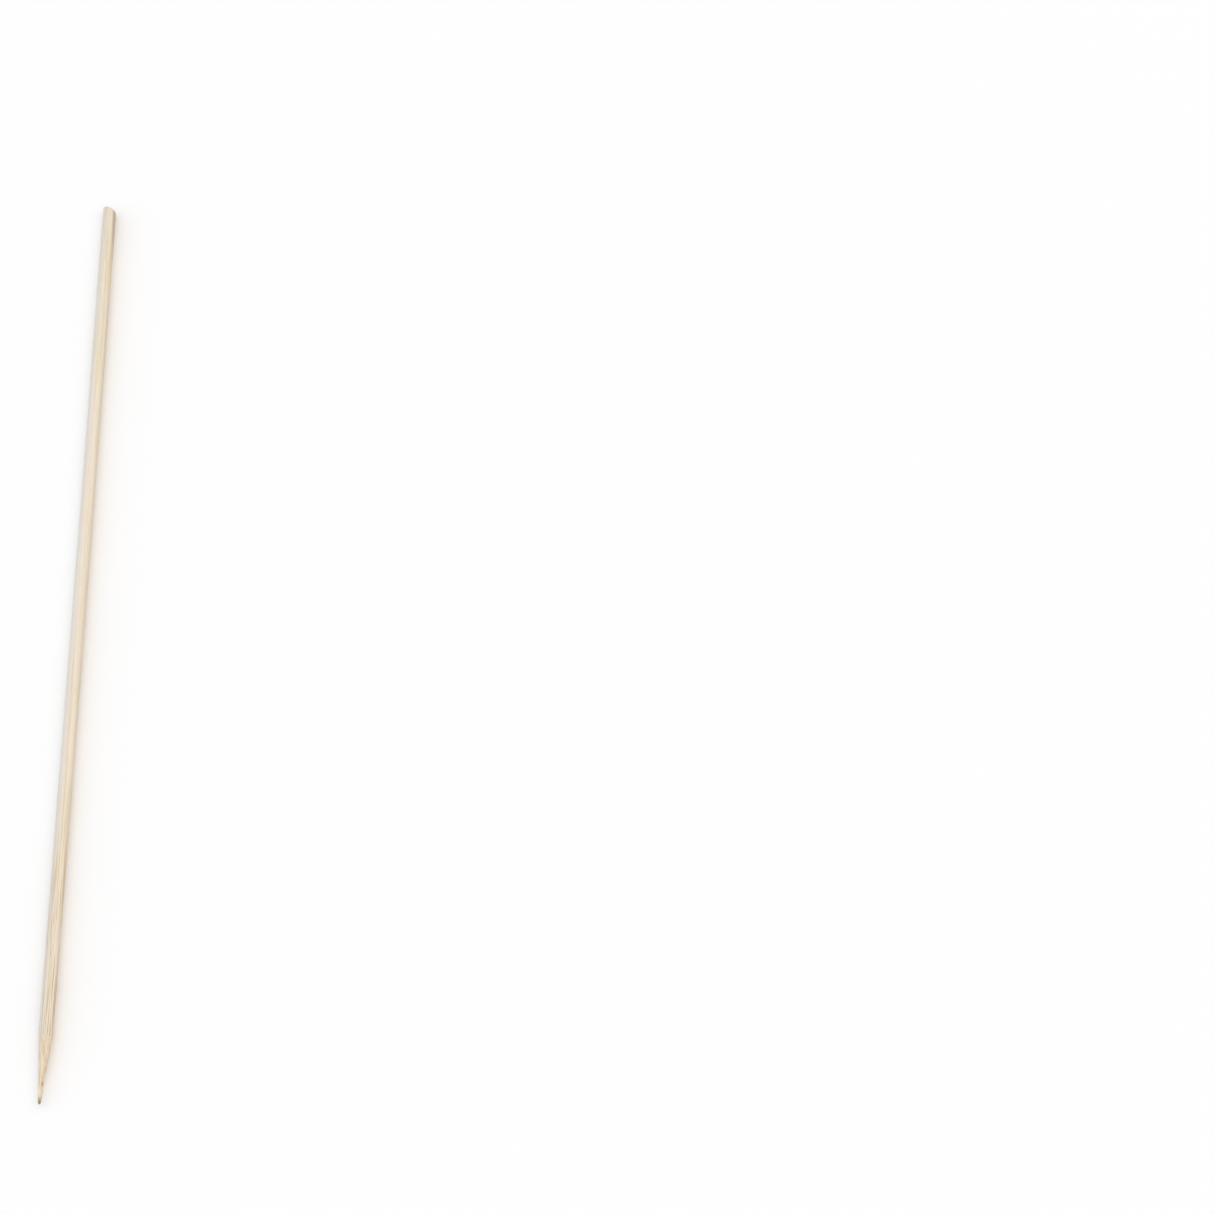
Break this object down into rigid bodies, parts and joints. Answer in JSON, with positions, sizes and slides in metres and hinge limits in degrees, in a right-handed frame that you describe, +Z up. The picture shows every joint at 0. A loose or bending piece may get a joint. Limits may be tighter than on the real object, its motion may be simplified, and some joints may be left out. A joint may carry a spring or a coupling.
{
  "type": "bamboo skewer",
  "caption": "Long round bamboo skewer with a ground point and a sawn butt, for threading and grilling food.",
  "frame": {"origin": "on the surface that the skewer lies on, under the middle of its box", "axes": "+X along the rod to the point, +Y to the side that the rod bows to, +Z up from the lower flat"},
  "size_m": [0.3008, 0.004, 0.0037],
  "materials": {
    "bamboo": "bare pale bamboo, tumbled smooth, with fine lengthwise fibres"
  },
  "bodies": {
    "root": {"skewer": "bamboo"}
  },
  "joints": []
}
